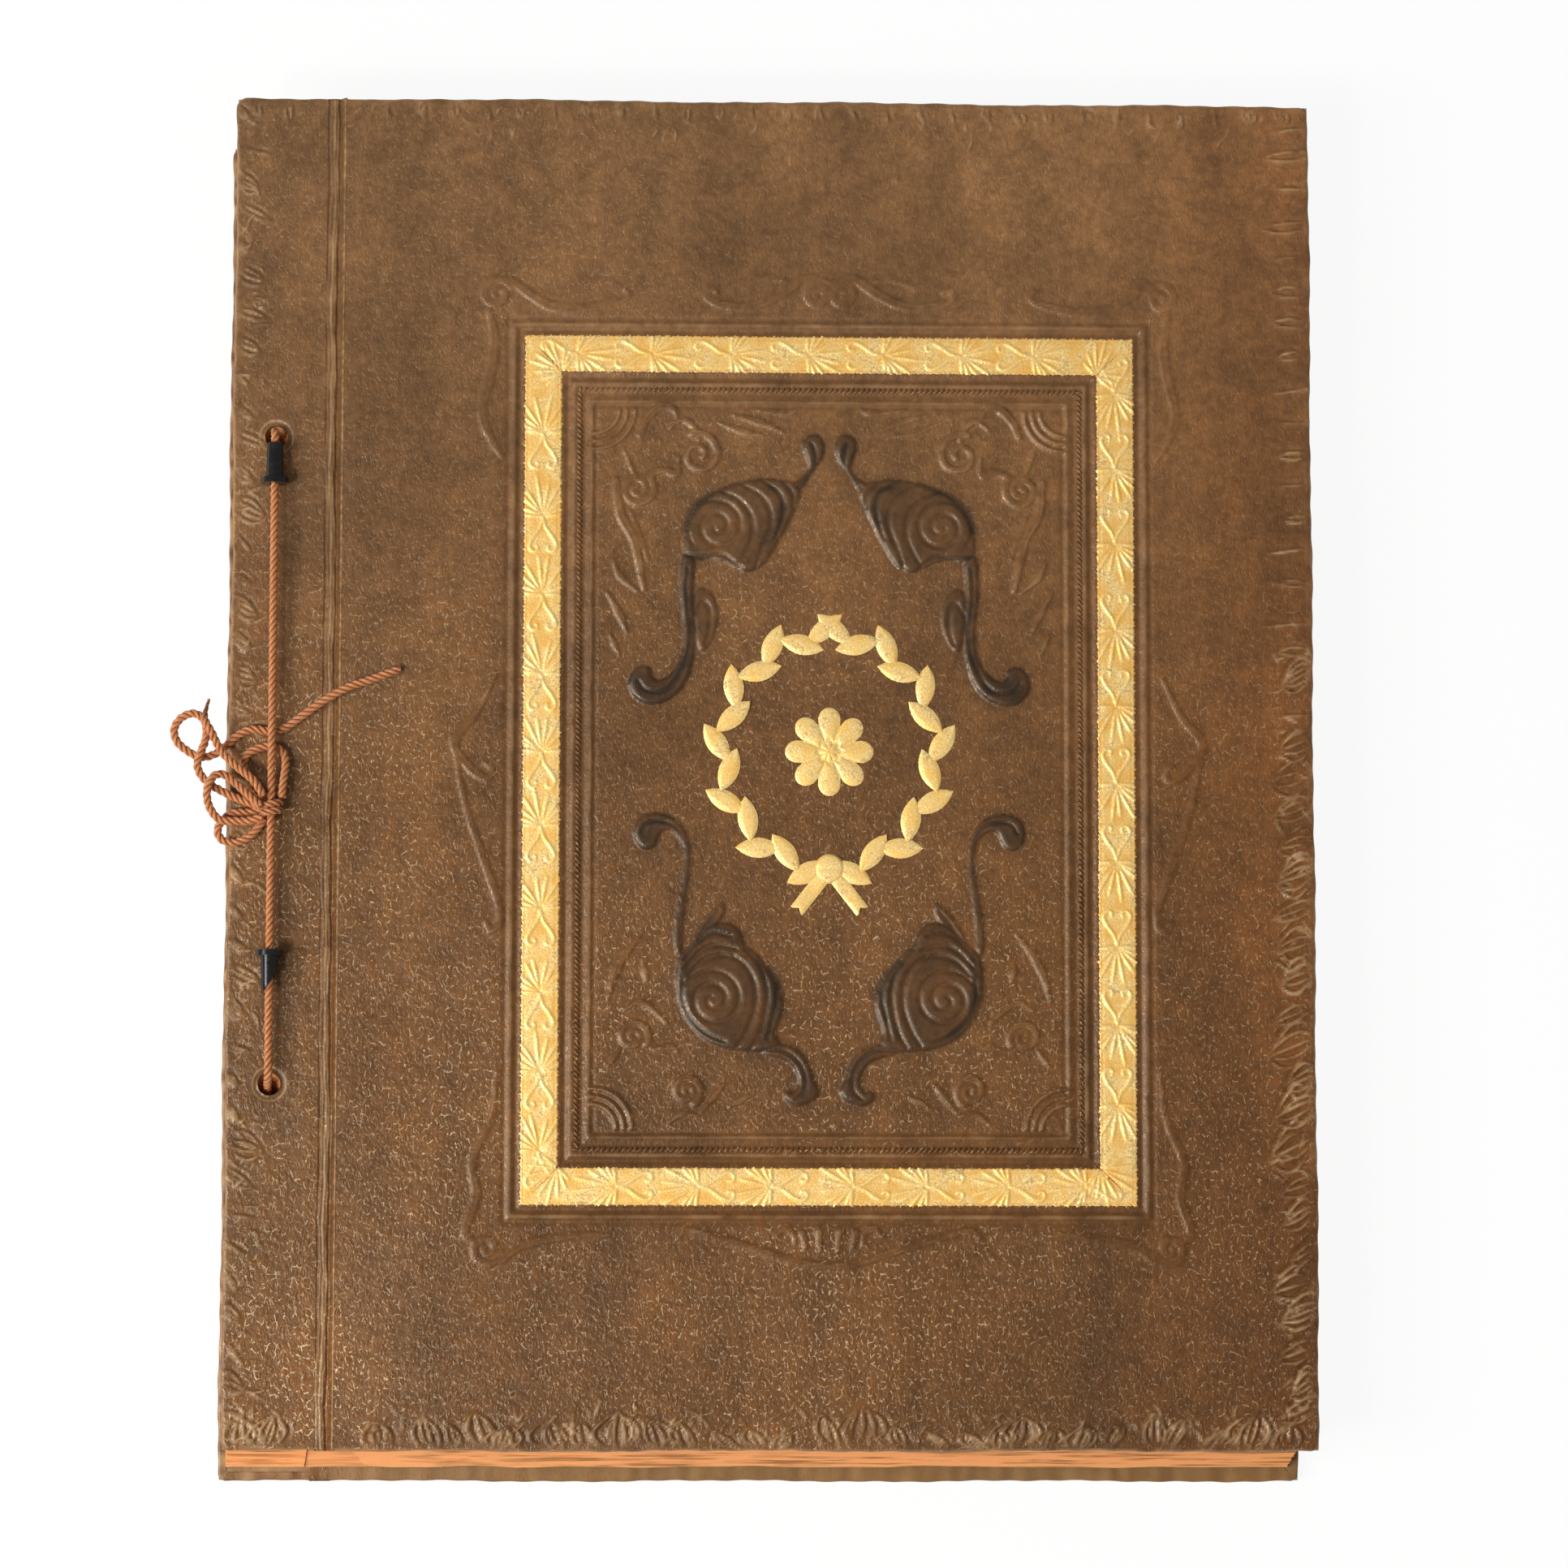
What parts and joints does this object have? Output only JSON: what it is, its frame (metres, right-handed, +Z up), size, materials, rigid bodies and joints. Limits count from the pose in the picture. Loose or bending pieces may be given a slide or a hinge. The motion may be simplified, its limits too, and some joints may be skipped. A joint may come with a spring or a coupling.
{
  "type": "scrapbook album",
  "caption": "Closed string-bound scrapbook album with embossed leather covers, gilt frame and wreath, tan paper leaves, and a laced cord tied in a bow with two black ferrules.",
  "frame": {"origin": "middle of the album's footprint at the outer face of the back cover, which lies on the table", "axes": "+X from the spine to the fore-edge, +Y from tail to head, +Z up out of the front cover"},
  "size_m": [0.3212, 0.39, 0.037],
  "materials": {
    "cover_leather": "pebbled, blind embossed, worn",
    "hinge_leather": "creased, worn",
    "gilt": "stamped gilt, worn",
    "board": "raw pressed board",
    "lining": "matt",
    "leaf_paper": "matt, aged",
    "guard_card": "matt, aged",
    "cord": "twisted rayon",
    "ferrule": "moulded, glossy"
  },
  "bodies": {
    "binding": {"front_strip_leather": "cover_leather", "front_strip_board": "board", "front_hinge_leather": "hinge_leather", "back_strip_leather": "cover_leather", "back_strip_board": "board", "back_hinge_leather": "hinge_leather", "leaf_stubs": "leaf_paper", "leaf_guards": "guard_card", "lacing_cord": "cord", "bow_knot": "cord", "bow_tail": "cord", "bow_upper_loop": "cord", "bow_middle_loop": "cord", "bow_lower_loop": "cord", "bow_strand": "cord", "bow_end": "cord"},
    "front_cover": {"front_cover_leather": "cover_leather", "front_cover_board": "board", "front_lining": "lining", "gilt_frame": "gilt", "gilt_wreath": "gilt"},
    "back_cover": {"back_cover_leather": "cover_leather", "back_cover_board": "board", "back_lining": "lining"},
    "leaf_01": {"leaf_01": "leaf_paper"},
    "leaf_02": {"leaf_02": "leaf_paper"},
    "leaf_03": {"leaf_03": "leaf_paper"},
    "leaf_04": {"leaf_04": "leaf_paper"},
    "leaf_05": {"leaf_05": "leaf_paper"},
    "leaf_06": {"leaf_06": "leaf_paper"},
    "leaf_07": {"leaf_07": "leaf_paper"},
    "leaf_08": {"leaf_08": "leaf_paper"},
    "leaf_09": {"leaf_09": "leaf_paper"},
    "leaf_10": {"leaf_10": "leaf_paper"},
    "leaf_11": {"leaf_11": "leaf_paper"},
    "leaf_12": {"leaf_12": "leaf_paper"},
    "leaf_13": {"leaf_13": "leaf_paper"},
    "leaf_14": {"leaf_14": "leaf_paper"},
    "leaf_15": {"leaf_15": "leaf_paper"},
    "leaf_16": {"leaf_16": "leaf_paper"},
    "leaf_17": {"leaf_17": "leaf_paper"},
    "leaf_18": {"leaf_18": "leaf_paper"},
    "leaf_19": {"leaf_19": "leaf_paper"},
    "leaf_20": {"leaf_20": "leaf_paper"},
    "ferrule_upper": {"ferrule_upper": "ferrule"},
    "ferrule_lower": {"ferrule_lower": "ferrule"}
  },
  "joints": [
    {"name": "front_cover_hinge", "type": "hinge", "parent": "binding", "child": "front_cover", "pos_m": [-0.1225, 0.0045, 0.02915], "axis": [0, -1, 0], "range_deg": [0, 140], "deforming": ["front_hinge_leather", "bow_tail"]},
    {"name": "back_cover_hinge", "type": "hinge", "parent": "binding", "child": "back_cover", "pos_m": [-0.125, -0.0045, 0.00125], "axis": [0, 1, 0], "range_deg": [0, 140], "deforming": ["back_hinge_leather"]},
    {"name": "ferrule_upper_slide", "type": "slide", "parent": "binding", "child": "ferrule_upper", "axis": [0, -1, 0], "range_m": [0, 0.046]},
    {"name": "ferrule_lower_slide", "type": "slide", "parent": "binding", "child": "ferrule_lower", "axis": [0, 1, 0], "range_m": [-0.018, 0.025]},
    {"name": "leaf_01_turn", "type": "hinge", "parent": "binding", "child": "leaf_01", "pos_m": [-0.11837, 0.00407, 0.025], "axis": [0, -1, 0], "range_deg": [0, 92]},
    {"name": "leaf_02_turn", "type": "hinge", "parent": "binding", "child": "leaf_02", "pos_m": [-0.11799, 0.00364, 0.02395], "axis": [0, -1, 0], "range_deg": [0, 87.4]},
    {"name": "leaf_03_turn", "type": "hinge", "parent": "binding", "child": "leaf_03", "pos_m": [-0.11761, 0.00321, 0.0229], "axis": [0, -1, 0], "range_deg": [0, 82.8]},
    {"name": "leaf_04_turn", "type": "hinge", "parent": "binding", "child": "leaf_04", "pos_m": [-0.11723, 0.00279, 0.02185], "axis": [0, -1, 0], "range_deg": [0, 78.2]},
    {"name": "leaf_05_turn", "type": "hinge", "parent": "binding", "child": "leaf_05", "pos_m": [-0.11685, 0.00236, 0.0208], "axis": [0, -1, 0], "range_deg": [0, 73.5]},
    {"name": "leaf_06_turn", "type": "hinge", "parent": "binding", "child": "leaf_06", "pos_m": [-0.11646, 0.00193, 0.01975], "axis": [0, -1, 0], "range_deg": [0, 68.9]},
    {"name": "leaf_07_turn", "type": "hinge", "parent": "binding", "child": "leaf_07", "pos_m": [-0.11608, 0.0015, 0.0187], "axis": [0, -1, 0], "range_deg": [0, 64.3]},
    {"name": "leaf_08_turn", "type": "hinge", "parent": "binding", "child": "leaf_08", "pos_m": [-0.1157, 0.00107, 0.01765], "axis": [0, -1, 0], "range_deg": [0, 59.6]},
    {"name": "leaf_09_turn", "type": "hinge", "parent": "binding", "child": "leaf_09", "pos_m": [-0.11532, 0.00064, 0.0166], "axis": [0, -1, 0], "range_deg": [0, 55]},
    {"name": "leaf_10_turn", "type": "hinge", "parent": "binding", "child": "leaf_10", "pos_m": [-0.11494, 0.00021, 0.01555], "axis": [0, -1, 0], "range_deg": [0, 50.4]},
    {"name": "leaf_11_turn", "type": "hinge", "parent": "binding", "child": "leaf_11", "pos_m": [-0.11456, -0.00021, 0.0145], "axis": [0, -1, 0], "range_deg": [0, 45.7]},
    {"name": "leaf_12_turn", "type": "hinge", "parent": "binding", "child": "leaf_12", "pos_m": [-0.11418, -0.00064, 0.01345], "axis": [0, -1, 0], "range_deg": [0, 41.1]},
    {"name": "leaf_13_turn", "type": "hinge", "parent": "binding", "child": "leaf_13", "pos_m": [-0.1138, -0.00107, 0.0124], "axis": [0, -1, 0], "range_deg": [0, 36.5]},
    {"name": "leaf_14_turn", "type": "hinge", "parent": "binding", "child": "leaf_14", "pos_m": [-0.11342, -0.0015, 0.01135], "axis": [0, -1, 0], "range_deg": [0, 31.8]},
    {"name": "leaf_15_turn", "type": "hinge", "parent": "binding", "child": "leaf_15", "pos_m": [-0.11304, -0.00193, 0.0103], "axis": [0, -1, 0], "range_deg": [0, 27.2]},
    {"name": "leaf_16_turn", "type": "hinge", "parent": "binding", "child": "leaf_16", "pos_m": [-0.11266, -0.00236, 0.00925], "axis": [0, -1, 0], "range_deg": [0, 22.6]},
    {"name": "leaf_17_turn", "type": "hinge", "parent": "binding", "child": "leaf_17", "pos_m": [-0.11227, -0.00279, 0.0082], "axis": [0, -1, 0], "range_deg": [0, 17.9]},
    {"name": "leaf_18_turn", "type": "hinge", "parent": "binding", "child": "leaf_18", "pos_m": [-0.11189, -0.00321, 0.00715], "axis": [0, -1, 0], "range_deg": [0, 13.3]},
    {"name": "leaf_19_turn", "type": "hinge", "parent": "binding", "child": "leaf_19", "pos_m": [-0.11151, -0.00364, 0.0061], "axis": [0, -1, 0], "range_deg": [0, 8.7]},
    {"name": "leaf_20_turn", "type": "hinge", "parent": "binding", "child": "leaf_20", "pos_m": [-0.11113, -0.00407, 0.00505], "axis": [0, -1, 0], "range_deg": [0, 4.1]}
  ],
  "couplings": [
    {"joint": "leaf_01_turn", "follows": "front_cover_hinge", "ratio": 0.6571},
    {"joint": "leaf_02_turn", "follows": "front_cover_hinge", "ratio": 0.6241},
    {"joint": "leaf_03_turn", "follows": "front_cover_hinge", "ratio": 0.591},
    {"joint": "leaf_04_turn", "follows": "front_cover_hinge", "ratio": 0.5579},
    {"joint": "leaf_05_turn", "follows": "front_cover_hinge", "ratio": 0.5248},
    {"joint": "leaf_06_turn", "follows": "front_cover_hinge", "ratio": 0.4917},
    {"joint": "leaf_07_turn", "follows": "front_cover_hinge", "ratio": 0.4586},
    {"joint": "leaf_08_turn", "follows": "front_cover_hinge", "ratio": 0.4256},
    {"joint": "leaf_09_turn", "follows": "front_cover_hinge", "ratio": 0.3925},
    {"joint": "leaf_10_turn", "follows": "front_cover_hinge", "ratio": 0.3594},
    {"joint": "leaf_11_turn", "follows": "front_cover_hinge", "ratio": 0.3263},
    {"joint": "leaf_12_turn", "follows": "front_cover_hinge", "ratio": 0.2932},
    {"joint": "leaf_13_turn", "follows": "front_cover_hinge", "ratio": 0.2602},
    {"joint": "leaf_14_turn", "follows": "front_cover_hinge", "ratio": 0.2271},
    {"joint": "leaf_15_turn", "follows": "front_cover_hinge", "ratio": 0.194},
    {"joint": "leaf_16_turn", "follows": "front_cover_hinge", "ratio": 0.1609},
    {"joint": "leaf_17_turn", "follows": "front_cover_hinge", "ratio": 0.1278},
    {"joint": "leaf_18_turn", "follows": "front_cover_hinge", "ratio": 0.0947},
    {"joint": "leaf_19_turn", "follows": "front_cover_hinge", "ratio": 0.0617},
    {"joint": "leaf_20_turn", "follows": "front_cover_hinge", "ratio": 0.0286}
  ]
}
